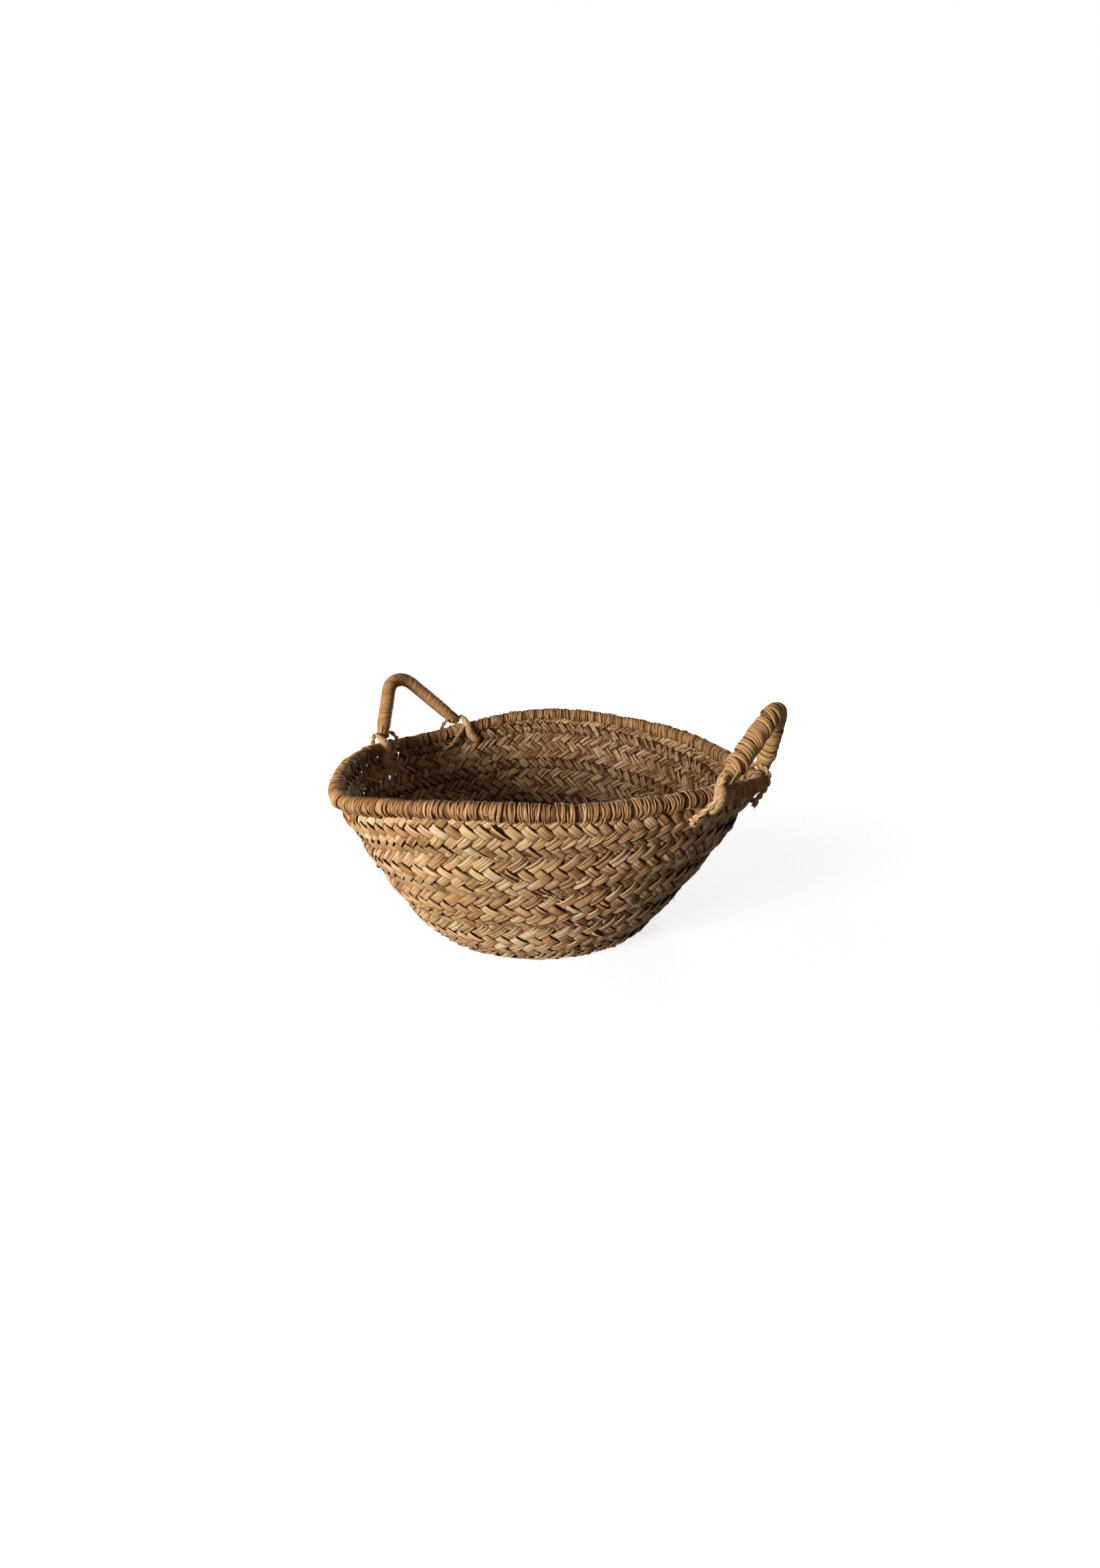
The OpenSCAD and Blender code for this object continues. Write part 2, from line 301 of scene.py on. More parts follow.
def around(x, y, w):
    """Directions at angles w in the plane of x and y."""
    return np.cos(w)[:, None] * x + np.sin(w)[:, None] * y


def facing(line, outward):
    """A line's tangents, and the outward directions made square to them."""
    along = unit(np.gradient(line, axis=0))
    return along, unit(outward - along * np.sum(outward * along, -1, keepdims=True))


def sampled(place, at, values):
    """Each column of values, read at the given places along a path."""
    return np.stack([np.interp(place, at, values[:, i]) for i in range(3)], -1)


def slow_noise(rng, shape, waves_per_length):
    """Smooth random wander, about -1 to 1, along the last axis of shape."""
    at = np.linspace(0, 1, shape[-1])
    total = np.zeros(shape)
    lead = shape[:-1] + (1,)
    for octave, weight in ((1.0, 0.6), (2.3, 0.4)):
        phase = rng.uniform(0, 2 * PI, lead)
        rate = waves_per_length * octave * rng.uniform(0.7, 1.3, lead)
        total += weight * np.sin(2 * PI * rate * at + phase)
    return total


def place_in_scene(name, data):
    thing = bpy.data.objects.new(name, data)
    bpy.context.scene.collection.objects.link(thing)
    return thing


# ================ blades of grass as meshes
SECTION = np.array([[1.0, 0.0], [0.7, 1.0], [-0.7, 1.0], [-1.0, 0.0], [-0.7, -1.0], [0.7, -1.0]])


class Blades:
    """Collects blades of grass, and makes them into one mesh."""

    def __init__(self):
        self.points, self.quads, self.caps = [], [], []
        self.layers = {"tint": [], "shade": [], "fibre": []}
        self.count = 0
        self.rng = np.random.default_rng(SEEDS["blades"])

    def add(self, path, side, up, half_w, half_t, tint, shade):
        """path, side and up are (blades, points, 3). The rest are (blades, points) or less."""
        blades, length = path.shape[:2]
        sides = len(SECTION)
        rest = (half_w, half_t, tint, shade)
        half_w, half_t, tint, shade = (np.broadcast_to(v, (blades, length))[..., None] for v in rest)
        across = SECTION[:, 0] * half_w
        thick = SECTION[:, 1] * half_t
        wide = across[..., None] * side[:, :, None]
        points = path[:, :, None] + wide + thick[..., None] * up[:, :, None]
        points[..., 2] = np.maximum(points[..., 2], 0.0)
        self.points.append(points.reshape(-1, 3))
        index = np.arange(blades * length * sides).reshape(blades, length, sides) + self.count
        nxt = np.roll(index, -1, axis=2)
        quads = np.stack([index[:, :-1], nxt[:, :-1], nxt[:, 1:], index[:, 1:]], -1)
        self.quads.append(quads.reshape(-1, 4))
        self.caps += [index[:, 0, ::-1], index[:, -1]]
        self.count += index.size
        ones = np.ones((1, length, sides))
        steps = np.linalg.norm(np.diff(path, axis=1), axis=2)
        along = np.concatenate([np.zeros((blades, 1)), np.cumsum(steps, axis=1)], 1)
        own = self.rng.uniform(0, 900, (blades, 1, 1)) * ones
        fibre = np.stack([across + own, along[..., None] * ones + own * 3, own], -1)
        self.layers["tint"].append((tint * ones).ravel())
        self.layers["shade"].append((shade * ones).ravel())
        self.layers["fibre"].append(fibre.reshape(-1, 3))

    def add_one(self, line, side, up, *rest):
        """One blade: line, side and up are (points, 3), and the rest are (points) or one number."""
        self.add(line[None], side[None], up[None], *rest)

    def mesh(self, name):
        points = np.concatenate(self.points) * MM
        quads = np.concatenate(self.quads)
        caps = np.concatenate(self.caps)
        mesh = bpy.data.meshes.new(name)
        mesh.vertices.add(len(points))
        mesh.vertices.foreach_set("co", points.astype(np.float32).ravel())
        corners = np.concatenate([quads.ravel(), caps.ravel()]).astype(np.int32)
        totals = np.concatenate([np.full(len(quads), 4), np.full(len(caps), len(SECTION))])
        starts = sums(totals)[:-1].astype(np.int32)
        mesh.loops.add(len(corners))
        mesh.loops.foreach_set("vertex_index", corners)
        mesh.polygons.add(len(totals))
        mesh.polygons.foreach_set("loop_start", starts)
        mesh.polygons.foreach_set("use_smooth", np.ones(len(totals), bool))
        mesh.update(calc_edges=True)
        for key, parts in self.layers.items():
            data = np.concatenate(parts).astype(np.float32)
            kind, field = ("FLOAT", "value") if data.ndim == 1 else ("FLOAT_VECTOR", "vector")
            mesh.attributes.new(key, kind, "POINT").data.foreach_set(field, data.ravel())
        mesh.validate()
        return mesh

    def piece(self, name, material, body, slot, *nodes):
        """Makes the piece. It takes the place of the named CAD nodes."""
        piece = place_in_scene(name, self.mesh(name))
        piece.data.materials.append(material)
        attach(piece, body)
        if nodes:
            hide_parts(*nodes)


# ================ materials
def srgb(r, g, b):
    def one(v):
        v /= 255.0
        return v / 12.92 if v <= 0.04045 else ((v + 0.055) / 1.055) ** 2.4

    return (one(r), one(g), one(b), 1.0)


def shades(*rows):
    """Stops of a colour ramp, from rows of place, red, green and blue."""
    return [(at, srgb(*colour)) for at, *colour in rows]


class Nodes:
    """Short calls to build a tree of nodes."""

    def __init__(self, tree):
        self.tree = tree
        tree.nodes.clear()

    def give(self, node, inputs):
        """Fills a node's inputs, by name or number, with fixed values or other nodes' outputs."""
        for key, value in inputs.items():
            if isinstance(value, bpy.types.NodeSocket):
                self.tree.links.new(value, node.inputs[key])
            else:
                node.inputs[key].default_value = value

    def add(self, kind, inputs=None, **settings):
        node = self.tree.nodes.new(kind)
        for key, value in settings.items():
            setattr(node, key, value)
        self.give(node, inputs or {})
        return node

    def attribute(self, name, output):
        return self.add("ShaderNodeAttribute", attribute_name=name).outputs[output]

    def maths(self, operation, a, b, clamp=False):
        return self.add("ShaderNodeMath", {0: a, 1: b}, operation=operation, use_clamp=clamp).outputs[0]

    def plus(self, a, b, clamp=False):
        return self.maths("ADD", a, b, clamp)

    def times(self, a, b, clamp=False):
        return self.maths("MULTIPLY", a, b, clamp)

    def above(self, value, level, gain, clamp=False):
        """How far a value is above a level, times a gain."""
        return self.times(self.maths("SUBTRACT", value, level), gain, clamp)

    def bump(self, height, strength, distance):
        inputs = {"Strength": strength, "Distance": distance, "Height": height}
        return self.add("ShaderNodeBump", inputs).outputs["Normal"]

    def noise(self, vector, scale, stretch, detail, rough):
        """Noise on the given coordinates, stretched along some of them."""
        mapping = self.add("ShaderNodeMapping", {"Scale": stretch, "Vector": vector})
        place = mapping.outputs["Vector"]
        inputs = {"Vector": place, "Scale": scale, "Detail": detail, "Roughness": rough}
        return self.add("ShaderNodeTexNoise", inputs).outputs["Fac"]

    def ramp(self, value, stops):
        node = self.add("ShaderNodeValToRGB", {"Fac": value})
        elements = node.color_ramp.elements
        while len(elements) < len(stops):
            elements.new(0.5)
        for element, (at, colour) in zip(elements, stops):
            element.position = at
            element.color = colour
        return node.outputs["Color"]

    def mix(self, factor, a, b):
        """Colour a turning to colour b. Inputs 0, 6 and 7 are the node's factor and colours."""
        return self.add("ShaderNodeMix", {0: factor, 6: a, 7: b}, data_type="RGBA").outputs[2]


class Material(Nodes):
    """A material's nodes, which all lead to one shader."""

    def __init__(self, name):
        self.material = bpy.data.materials.new(name)
        self.material.use_nodes = True
        super().__init__(self.material.node_tree)
        self.shader = self.add("ShaderNodeBsdfPrincipled")
        self.add("ShaderNodeOutputMaterial", {"Surface": self.shader.outputs["BSDF"]})

    def look(self, **inputs):
        """Fills the shader's inputs, with _ for a space in an input's name."""
        self.give(self.shader, {key.replace("_", " "): value for key, value in inputs.items()})


# noise on a blade's own coordinates (waves for each mm across and along it), its detail and roughness
FINE_NOISE = ((3.2, 0.045, 0.0), 3.0, 0.6)
BROAD_NOISE = ((0.55, 0.05, 0.0), 2.0, 0.5)
BLOTCH_NOISE = ((0.25, 0.12, 0.0), 2.0, 0.5)


def grass_material(name, stops, roughness, bump, spread, streak):
    """Dry grass: a base colour for each blade, fibres along it, and painted shade, darker where it dips
    under.
    """
    m = Material(name)
    fibre = m.attribute("fibre", "Vector")
    tint = m.attribute("tint", "Fac")
    shade = m.attribute("shade", "Fac")
    fine = m.noise(fibre, 1.0, *FINE_NOISE)
    broad = m.noise(fibre, 1.0, *BROAD_NOISE)
    blotch = m.noise(fibre, 1.0, *BLOTCH_NOISE)
    moved = m.plus(tint, m.above(broad, 0.5, 0.9 * spread))
    moved = m.plus(moved, m.above(blotch, 0.5, 0.5 * spread), True)
    colour = m.ramp(moved, stops)
    blush = m.above(blotch, 0.48, 3.0, True)
    colour = m.mix(m.times(blush, 0.4), colour, PINK)
    lines = m.above(fine, 0.36, 3.6, True)
    lines = m.plus(m.times(lines, streak), 1.0 - streak)
    # the shade attribute is mostly painted shade, with a little random tone: it darkens the colour towards
    # the dark colour, as the fibre streaks do
    m.look(Base_Color=m.mix(m.times(lines, shade), STREAK_AND_SHADE_COLOUR, colour))
    m.look(Roughness=m.plus(m.times(fine, -0.25), roughness + 0.12), Specular_IOR_Level=0.18)
    m.look(Normal=m.bump(m.plus(m.times(fine, 0.7), m.times(broad, 0.6)), bump, 0.0006))
    return m.material


PLAIT_STOPS = shades(
    (0.00, 120, 78, 46), (0.20, 166, 120, 76), (0.42, 198, 151, 103), (0.62, 213, 172, 125),
    (0.80, 226, 191, 141), (1.00, 236, 209, 170),
)
BINDING_STOPS = shades(
    (0.00, 110, 72, 42), (0.25, 160, 112, 68), (0.50, 190, 142, 90), (0.75, 206, 160, 108),
    (1.00, 226, 190, 142),
)
ROPE_STOPS = shades(
    (0.00, 138, 92, 54), (0.30, 186, 136, 84), (0.60, 208, 160, 104), (1.00, 228, 188, 134),
)
CORD_STOPS = shades((0.00, 178, 132, 86), (0.50, 214, 168, 116), (1.00, 234, 198, 150))
DARK_STOPS = shades((0.00, 66, 38, 20), (0.50, 104, 66, 36), (1.00, 146, 100, 58))
# the binding's colours made darker, as painted shade under the bundles
UNDER_SHADE_STOPS = shades((0.00, 92, 58, 34), (0.50, 134, 94, 58), (1.00, 170, 126, 82))
# the dark colour that the fibre streaks and the painted shade both mix towards
STREAK_AND_SHADE_COLOUR = srgb(54, 28, 14)
PINK = srgb(222, 178, 150)


def node_grass_material(name, stops):
    """The same dry grass for a CAD node, which has no coordinates of its own along each blade."""
    m = Material(name)
    place = m.add("ShaderNodeTexCoord").outputs["Object"]
    fine = m.noise(place, 900.0, (1.0, 1.0, 0.25), 3.0, 0.6)
    broad = m.noise(place, 60.0, (1.0, 1.0, 1.0), 2.0, 0.5)
    m.look(Base_Color=m.ramp(m.plus(m.times(fine, 0.5), m.times(broad, 0.5)), stops))
    m.look(Roughness=0.75, Normal=m.bump(fine, 0.6, 0.0005))
    return m.material


# ================ the plait
def strip_pitch(phi):
    """Distance along the strip from one strand to the next: closer in the top turns."""
    share = np.clip((phi - PITCH_CHANGE[0]) / PITCH_CHANGE[1], 0.0, 1.0)
    return PITCH_LOW + (PITCH_TOP - PITCH_LOW) * share


def strand_places():
    """Whole angle of each strand's middle, and the angle between neighbours there."""
    phi = np.arange(COIL_START, COIL_END + 120.0, 0.5)
    middle_r = profile(np.minimum(np.maximum(seam(phi) + STRIP_W / 2, 22.0), S_RIM))[0]
    rate = middle_r * math.radians(0.5) / strip_pitch(phi)
    count = sums(rate)[:-1]
    places = np.interp(np.arange(0, count[-1], 0.5), count, phi)
    step = np.degrees(strip_pitch(places) / np.interp(places, phi, middle_r))
    return places, step


def strand_path(phi_mid, step, lean, q):
    """Angle and profile distance of a strand's middle line, at rows q."""
    phi = phi_mid + lean * (q - ROWS / 2) * step / 2
    return phi, seam(phi) + q * ROW_H


def top_row(phi_mid):
    """Last row of a strand: short of the seam, except where the rim takes the place of a next strip."""
    return ROWS - (LAP_TOP if phi_mid < LAST_TURN else LAP_RIM)


def strand_rows(phi_mid, step, lean):
    """Rows that the strand covers, from over the strip below to its own top edge."""
    q = np.linspace(-LAP_LOW, top_row(phi_mid), 200)
    phi, s = strand_path(phi_mid, step, lean, q)
    inside = (s > 4.0) & (s < S_RIM + 2.0) & (phi < COIL_END - 2.0) & (phi > COIL_START - 60.0)
    if inside.sum() < 16:
        return None
    return np.linspace(q[inside].min(), q[inside].max(), STRAND_POINTS)


def split_width(rng, total):
    """Half widths and offsets of the straws that lie side by side in a strand."""
    count = rng.choice(list(STRAW_COUNTS), p=list(STRAW_COUNTS.values()))
    share = rng.dirichlet(np.full(count, 2.4))
    share = STRAW_LEAST + share * (1 - STRAW_LEAST * count)
    widths = share * total
    edges = sums(widths) - total / 2
    return widths / 2, (edges[:-1] + edges[1:]) / 2


def thin_place(phi_mid):
    """Whether the plait is worn thin there: below the back handle's feet, where light shows through."""
    turn_angle = phi_mid % 360.0
    return phi_mid > THIN_FROM and any(abs(turn_angle - a) < THIN_HALF for a in THIN_ANGLES)


class Strand:
    """One strand's middle line, over two and under two, and what its straws need to follow it."""

    def __init__(self, rng, phi_mid, step, lean):
        self.phi_mid = phi_mid + step * rng.normal(0, 0.05)
        own_lean = lean * rng.normal(1.0, 0.045)
        self.q = strand_rows(self.phi_mid, step, own_lean)
        if self.q is None:
            return
        q = self.q
        phi, s = strand_path(self.phi_mid, step, own_lean, q)
        self.wave = lean * np.tanh(FLOAT_FLATNESS * np.sin(PI * (q - 1) / 2)) / math.tanh(FLOAT_FLATNESS)
        low_end = np.clip((q + LAP_LOW) / 0.5, 0.0, 1.0)
        top_end = np.clip((top_row(self.phi_mid) - q) / 0.9, 0.0, 1.0)
        self.tuck = low_end * (2 - low_end) * top_end * (2 - top_end)
        height = self.wave * WEAVE_DEPTH * rng.uniform(0.88, 1.14) * (0.2 + 0.8 * self.tuck)
        bulge = BULGE * np.sin(PI * np.clip(q / ROWS, 0, 1)) - BULGE * BULGE_IN
        normal = wall_normal(phi, s)
        self.middle = wall_point(phi, s, PLAIT_T / 2) + normal * (height + bulge)[:, None]
        along = unit(np.gradient(self.middle, axis=0))
        self.side = unit(np.cross(normal, along))
        self.up = np.cross(along, self.side)
        r = profile(s)[0]
        self.room = np.clip(r / max(float(np.interp(ROWS / 2, q, r)), 10.0), 0.3, 1.3)
        pitch = float(strip_pitch(self.phi_mid))
        self.spacing = pitch * math.sin(math.atan2(2 * ROW_H, pitch))
        self.dive = 1.0 + 0.20 * np.exp(-((self.wave / 0.55) ** 2))
        self.taper = np.clip(np.minimum(q - q[0], q[-1] - q) / 0.3, 0.35, 1.0)

    def spread(self, slit):
        """How wide the straws lie: the share slit at the strip's two edges, and all between them."""
        edge = np.clip(np.minimum(self.q + 0.3, ROWS + 0.3 - self.q) / 1.4, 0.0, 1.0)
        return (slit + (1 - slit) * edge) * self.dive * self.room

    def painted_shade(self):
        """Painted shade along the strand: darker where it passes over to under, at its ends and at the seams.
        """
        q = self.q
        painted_shade = 1.0 - 0.55 * np.exp(-((self.wave / 0.34) ** 2))
        painted_shade = painted_shade * (0.75 + 0.25 * self.tuck)
        return painted_shade * (1.0 - 0.30 * (np.exp(-(q / 0.9) ** 2) + np.exp(-((q - ROWS) / 0.9) ** 2)))


def straw_roll(rng, share, shape):
    """How far each straw is turned about its own length."""
    roll = rng.normal(0, 0.17) + rng.normal(0, 0.12, (shape[0], 1)) + 0.12 * slow_noise(rng, shape, 1.2)
    return (roll + 0.12 * share)[..., None]


def straw_tint(rng, phi_mid, count):
    """How light each straw is: lighter low on the bowl."""
    low = np.clip((1500.0 - phi_mid) / 1200.0, 0.0, 1.0)
    return np.clip(rng.normal(0.53, 0.13) + 0.28 * low + rng.normal(0, 0.13, (count, 1)), 0, 1)


def weave_strand(blades, rng, phi_mid, step, lean):
    """A strand's straws, side by side, and the thin filler that closes the gaps round them, dark with painted
    shade.
    """
    strand = Strand(rng, phi_mid, step, lean)
    if strand.q is None:
        return
    middle, side, up = strand.middle[None], strand.side[None], strand.up[None]
    total = strand.spacing * rng.uniform(0.85, 1.07)
    half_w, offset = split_width(rng, total)
    half_w, offset = half_w[:, None], offset[:, None]
    share = offset / (total / 2)
    spread = strand.spread(rng.uniform(0.66, 0.98))[None]
    count = len(half_w)
    shape = (count, STRAND_POINTS)
    across = offset * spread + 0.25 * slow_noise(rng, shape, 1.6)
    across = across + rng.uniform(-0.35, 0.35)
    lift = 0.14 * slow_noise(rng, shape, 2.0) + rng.uniform(-0.10, 0.16, (count, 1))
    lift = lift + 0.18 * np.abs(strand.wave)[None] * (1 - share ** 2)
    path = middle + across[..., None] * side + lift[..., None] * up
    roll = straw_roll(rng, share, shape)
    straw_side = np.cos(roll) * side - np.sin(roll) * up
    straw_up = np.sin(roll) * side + np.cos(roll) * up
    wide = half_w * (0.92 + 0.20 * spread) * rng.uniform(0.96, 1.12, (count, 1)) * strand.taper[None]
    thick = np.clip(0.30 + 0.05 * half_w, 0.32, 0.48)
    tint = straw_tint(rng, strand.phi_mid, count)
    painted_shade = strand.painted_shade()[None]
    shade = painted_shade * rng.uniform(0.86, 1.0, (count, 1))
    blades.add(path, straw_side, straw_up, wide, thick, tint, shade)
    # the filler is dark in tint and shade: painted shade in the gaps between the straws
    if not thin_place(strand.phi_mid):
        full = FILLER_SPREAD * strand.spacing / 2 * strand.dive * strand.room * strand.taper
        blades.add(middle, side, up, full[None], FILLER_T, 0.15, 0.45 * painted_shade)


def plait_pieces(material):
    """The plaited strip, in pieces that part at the turn splits. The first is the flat base."""
    rng = np.random.default_rng(SEEDS["plait"])
    places, step = strand_places()
    for turn in range(len(TURN_SPLITS) - 1):
        blades = Blades()
        for k, (phi, angle) in enumerate(zip(places, step)):
            if TURN_SPLITS[turn] <= phi < TURN_SPLITS[turn + 1]:
                lean = 1 if k % 2 == 0 else -1
                weave_strand(blades, rng, phi, angle, lean)
        node = "base_coil" if turn == 0 else "wall_coil"
        blades.piece(f"plait_turn_{turn + 1}", material, "basket", "plait", node)


def base_centre(material):
    """The plait's start, tucked into a small coil at the middle of the base, on a flat fold."""
    rng = np.random.default_rng(SEEDS["centre"])
    blades = Blades()
    for layer in range(6):
        turns = np.linspace(0, 2.2, 60)
        radius = 1.2 + 3.6 * turns + 0.4 * layer
        angle = 2 * PI * turns + layer
        z = 1.6 + 0.75 * layer - 0.03 * radius
        path = np.stack([radius * np.cos(angle), radius * np.sin(angle), z], -1)
        x, y = path_frames(path)
        blades.add_one(path, y, x, 1.5, 0.6, rng.uniform(0.3, 0.8), 0.9)
    # the flat fold under the coil, dark in tint and shade: painted shade seen through the coil's gaps
    fold = np.stack([np.linspace(-9, 9, 9), np.zeros(9), np.full(9, 2.2)], -1)
    side = np.tile([0.0, 1.0, 0.0], (9, 1))
    up = np.tile(UPWARD, (9, 1))
    blades.add_one(fold, side, up, 9.0, 0.4, 0.3, 0.5)
    blades.piece("base_centre_coil", material, "basket", "plait", "base_coil")


# ================ twisted cords
def twisted(blades, rng, path, start, ply_at, ply_r, pitch, tint):
    """A cord of two plies twisted together, each of four fibres twisted the other way."""
    plies = 2
    fibres = 4
    path, at = evenly(path, 0.8)
    x, y = path_frames(path, start)
    for ply in range(plies):
        turn = 2 * PI * (at / pitch + ply / plies)
        centre = path + ply_at * around(x, y, turn)
        for k in range(fibres):
            back = -2 * PI * at / (pitch * 0.9) + 2 * PI * k / fibres + rng.uniform(-0.2, 0.2)
            r = ply_r * 0.52 * (1 + 0.12 * slow_noise(rng, at.shape, 3.0))
            offset = around(x, y, back)
            line = centre + r[:, None] * offset
            along, up = facing(line, offset)
            half_w = ply_r * rng.uniform(0.55, 0.75)
            own = np.clip(tint + rng.normal(0, 0.14), 0, 1)
            shade = rng.uniform(0.85, 1.0)
            blades.add_one(line, np.cross(up, along), up, half_w, ply_r * 0.42, own, shade)


def seam_cord(material):
    """The sewing cord, all along the seam, and a flat dark strip behind the seam's gaps: painted shade seen
    through them.
    """
    rng = np.random.default_rng(SEEDS["seam"])
    blades = Blades()
    phi = np.arange(15.0, COIL_END - 7.0, 1.2)
    sway = 0.5 * np.sin(np.radians(phi) * 14.0)
    path = wall_point(phi, seam(phi) + sway, PLAIT_T / 2 + BULGE * 0.55)
    normal = wall_normal(phi, seam(phi))
    side = unit(np.cross(normal, unit(np.gradient(path, axis=0))))
    # the flat strip, dark in colour and shade: painted shade behind the seam's slits
    blades.add_one(path, side, normal, SEAM_BAND / 2, 0.3, 0.35, 0.6)
    path, at = evenly(path, 2.2)
    x, y = path_frames(path)
    for ply in range(SEAM_PLIES):
        offset = around(x, y, 2 * PI * (at / SEAM_PLY_PITCH + ply / SEAM_PLIES))
        line = path + 0.55 * offset
        along, up = facing(line, offset)
        tint = rng.uniform(0.3, 0.7)
        blades.add_one(line, np.cross(up, along), up, 0.7, 0.45, tint, 0.8)
    blades.piece("seam_sewing_cord", material, "basket", "sewing_cord", "seam_cord")


# ================ rim binding
def binding_profile(radius, drop):
    """(n, b) along one overcast strand: out of the wall, up, over the core, down and in again."""
    outside = [(0.6, -drop - 1.8), (3.4, -drop - 0.9)]
    outside += [(radius * wide, -drop * low) for wide, low in ((0.74, 0.70), (0.93, 0.30))]
    turns = [PI * (k + 0.5) / 7 for k in range(7)]
    over = [(radius * math.cos(w), radius * math.sin(w)) for w in turns]
    route = outside + over + [(-n, b) for n, b in reversed(outside)]
    curve = spline([(n, b, 0.0) for n, b in route], 5)
    lengths = lengths_along(curve)
    at = np.linspace(0, lengths[-1], OVERCAST_POINTS)
    return np.interp(at, lengths, curve[:, 0]), np.interp(at, lengths, curve[:, 1])


def overcast_strand(blades, rng, angle, shift, lean, radius, drop, width, tint, shade, gather=0.0):
    """One strand wound over the rim, shifted and leaning along it, and gathered at its two ends."""
    n, b = binding_profile(radius, drop)
    w = np.linspace(0, 1, OVERCAST_POINTS)
    wander = 0.40 * slow_noise(rng, w.shape, 1.5)
    along = shift * (1 - gather * (1 - np.sin(PI * w))) + lean * (0.5 - w) * 2 + wander
    lift = 0.32 * slow_noise(rng, w.shape, 2.2)
    away = unit(np.stack([n, np.maximum(b, 0.0) + 1e-3], -1))
    a = angle + np.degrees(along / R_RIM)
    path = rim_point(a, n + away[:, 0] * lift, b + away[:, 1] * lift)
    core = rim_point(a, 0.0, np.minimum(b, 0.0))
    way = unit(np.gradient(path, axis=0))
    side = unit(np.cross(unit(path - core), way))
    up = np.cross(way, side)
    roll = rng.normal(0, 0.25)
    side, up = side * math.cos(roll) + up * math.sin(roll), up * math.cos(roll) - side * math.sin(roll)
    ends = np.clip(np.minimum(w, 1 - w) / 0.10, 0.40, 1.0)
    blades.add_one(path, side, up, width * ends, 0.5, tint, shade)


def binding_under_layer(rng, material):
    """Close, even winding in darker colours and shade: painted shade seen between the bundles."""
    blades = Blades()
    radius = BINDING_R - UNDER_INSET[0]
    drop = BINDING_DROP - UNDER_INSET[1]
    count = int(2 * PI * R_RIM / UNDER_STEP)
    for k in range(count):
        # low shade here is painted shade between the bundles
        shade = rng.uniform(0.55, 0.8)
        tint = rng.uniform(0.2, 0.8)
        overcast_strand(blades, rng, 360.0 * k / count, 0.0, 0.8, radius, drop, 1.35, tint, shade)
    blades.piece("binding_under_layer", material, "basket", "binding", "rim_binding")


def binding_bundle(blades, rng, angle):
    """One bundle of strands side by side, gathered where it goes into the wall."""
    strands = rng.integers(4, 7)
    width = BUNDLE_W * rng.uniform(0.80, 1.04)
    lean = rng.normal(0.9, 1.5)
    drop = BINDING_DROP + rng.uniform(-0.4, 1.5)
    top = rng.normal(0.05, 0.38)
    gather = rng.uniform(0.40, 0.85)
    base_tint = rng.normal(0.50, 0.07)
    for j in range(strands):
        shift = (j + 0.5) / strands * width - width / 2 + rng.normal(0, 0.35)
        fan = lean + rng.normal(0, 0.8) - 0.10 * shift
        half = width / strands / 2 * rng.uniform(0.75, 1.25)
        radius = BINDING_R + top + rng.uniform(-0.4, 0.5)
        tint = np.clip(base_tint + rng.normal(0, 0.12), 0, 1)
        own_drop = drop + rng.normal(0, 0.5)
        shade = rng.uniform(0.85, 1.0)
        overcast_strand(blades, rng, angle, shift, fan, radius, own_drop, half, tint, shade, gather)


def binding_pieces(material, under_material):
    """The overcast rim: a close under layer, and bundles of strands with gaps between them."""
    rng = np.random.default_rng(SEEDS["binding"])
    binding_under_layer(rng, under_material)
    bundles = int(2 * PI * R_RIM / BUNDLE_W)
    halves = [Blades(), Blades()]
    for k in range(bundles):
        angle = 360.0 * (k + rng.uniform(-0.2, 0.2)) / bundles
        binding_bundle(halves[k * 2 // bundles], rng, angle)
    for k, blades in enumerate(halves):
        blades.piece(f"binding_bundles_{k + 1}", material, "basket", "binding", "rim_binding")


# ================ handles
class Handle:
    """A handle's own frame, with x along its swing axis and y up its plane, and the arch of its rope."""

    def __init__(self, h):
        feet = [rim_point(h["angle"] + side * h["spread"], 0.0, AXIS_RISE) for side in (1, -1)]
        x = unit(feet[0] - feet[1])
        flat = np.array([cos_d(h["angle"]), sin_d(h["angle"]), 0.0])
        out = unit(flat - x * (flat @ x))
        y = np.cross(out, x) * cos_d(h["lean"]) + out * sin_d(h["lean"])
        self.axes = np.array([x, y, np.cross(x, y)])
        self.middle = (feet[0] + feet[1]) / 2
        self.half = float(np.linalg.norm(feet[0] - feet[1]) / 2)
        self.bend = np.array([ARCH_SKEW, h["height"] - ARCH_R])

    def place(self, points):
        """Points of the handle's own frame, where they belong on the basket."""
        return points @ self.axes + self.middle

    def leg(self, side):
        """Direction of one side's leg in the handle's plane, its angle, and its straight length."""
        to_bend = self.bend - [side * self.half, 0]
        d = np.linalg.norm(to_bend)
        w = math.atan2(to_bend[1], to_bend[0]) - side * math.asin(ARCH_R / d)
        return np.array([math.cos(w), math.sin(w)]), w, math.sqrt(d * d - ARCH_R ** 2)

    def arch(self, before=0.0):
        """The rope's middle line in the handle's plane, from the +x foot to the -x foot."""
        d1, w1, run1 = self.leg(1)
        d2, w2, run2 = self.leg(-1)
        foot = np.array([self.half, 0.0])
        rise = [foot + d1 * t for t in np.linspace(-before, run1, 20)[:-1]]
        turn = np.linspace(w1 - PI / 2, w2 + PI / 2, 30)
        arc = [self.bend + ARCH_R * np.array([math.cos(w), math.sin(w)]) for w in turn]
        fall = [d2 * t - foot for t in np.linspace(run2, -before, 20)[1:]]
        flat = np.array(rise + arc + fall)
        return np.concatenate([flat, np.zeros((len(flat), 1))], 1)


